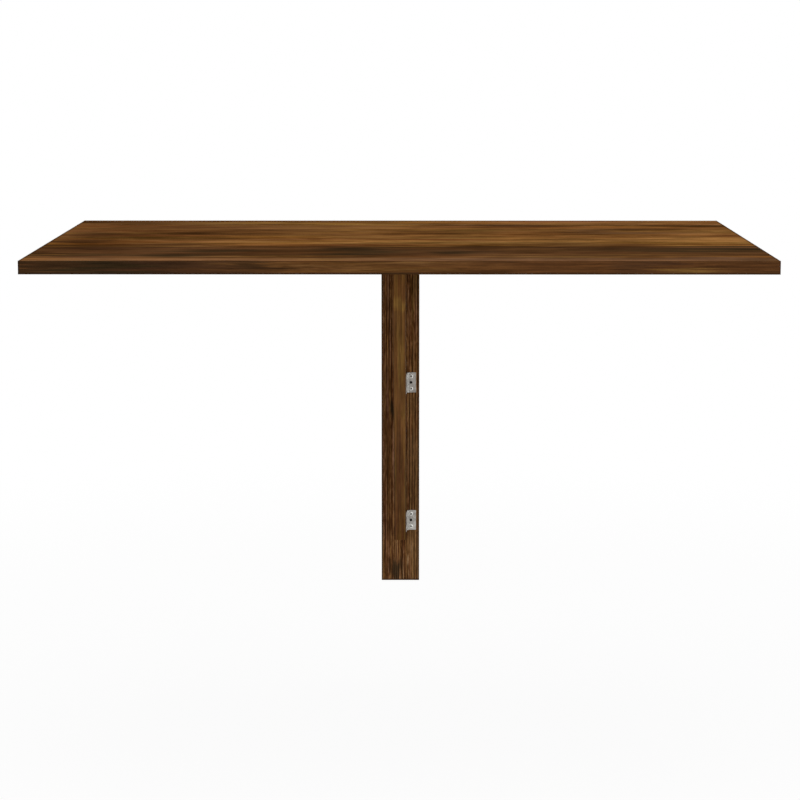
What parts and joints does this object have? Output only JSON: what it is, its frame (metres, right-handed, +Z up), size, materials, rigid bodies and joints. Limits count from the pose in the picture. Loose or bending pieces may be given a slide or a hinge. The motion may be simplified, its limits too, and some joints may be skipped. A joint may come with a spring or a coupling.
{
  "type": "wall mounted drop leaf table",
  "caption": "Wall mounted drop leaf table: a fixed shelf strip on a wall rail, a hinged leaf, and a tapered support panel hinged to a wall post that swings out under the leaf.",
  "frame": {"origin": "on the wall plane, halfway along the wall rail and at the middle of the rail's height, on its screw line", "axes": "+X along the wall to the right as seen from the room, +Y into the wall, +Z up; the table reaches out to -Y"},
  "size_m": [1, 0.6, 0.578],
  "materials": {
    "smoked_oak_board": "melamine faced board with a dark smoked oak grain, satin",
    "smoked_oak_edge_band": "dark smoked oak edge band, satin",
    "hinge_steel": "nickel plated steel sheet, satin",
    "beech": "plain beech",
    "pad_plastic": "dark brown moulded plastic"
  },
  "bodies": {
    "wall_frame": {"fixed_shelf": "smoked_oak_board", "leaf_hinge_1_pin": "hinge_steel", "leaf_hinge_1_shelf_leaf": "hinge_steel", "leaf_hinge_2_pin": "hinge_steel", "leaf_hinge_2_shelf_leaf": "hinge_steel", "leaf_hinge_3_pin": "hinge_steel", "leaf_hinge_3_shelf_leaf": "hinge_steel", "post_foot_band": "smoked_oak_edge_band", "post_side_bands": "smoked_oak_edge_band", "rail_end_bands": "smoked_oak_edge_band", "rail_lower_band": "smoked_oak_edge_band", "shelf_dowels": "beech", "shelf_end_bands": "smoked_oak_edge_band", "shelf_front_band": "smoked_oak_edge_band", "support_hinge_lower_pin": "hinge_steel", "support_hinge_lower_wall_leaf": "hinge_steel", "support_hinge_middle_pin": "hinge_steel", "support_hinge_middle_wall_leaf": "hinge_steel", "support_hinge_top_pin": "hinge_steel", "support_hinge_top_wall_leaf": "hinge_steel", "wall_post": "smoked_oak_board", "wall_rail": "smoked_oak_board"},
    "support": {"support_front_band": "smoked_oak_edge_band", "support_hinge_lower_panel_leaf": "hinge_steel", "support_hinge_middle_panel_leaf": "hinge_steel", "support_hinge_top_panel_leaf": "hinge_steel", "support_pad": "pad_plastic", "support_panel": "smoked_oak_board", "support_rear_band": "smoked_oak_edge_band", "support_top_band": "smoked_oak_edge_band"},
    "drop_leaf": {"leaf_end_bands": "smoked_oak_edge_band", "leaf_front_band": "smoked_oak_edge_band", "leaf_hinge_1_table_leaf": "hinge_steel", "leaf_hinge_2_table_leaf": "hinge_steel", "leaf_hinge_3_table_leaf": "hinge_steel", "leaf_panel": "smoked_oak_board", "leaf_rear_band": "smoked_oak_edge_band"}
  },
  "joints": [
    {"name": "support_swing", "type": "hinge", "parent": "wall_frame", "child": "support", "pos_m": [0.01135, -0.02035, 0.006], "axis": [0, 0, 1], "range_deg": [0, 90]},
    {"name": "leaf_lift", "type": "hinge", "parent": "wall_frame", "child": "drop_leaf", "pos_m": [0, -0.07575, 0.02765], "axis": [-1, 0, 0], "range_deg": [0, 4]}
  ]
}
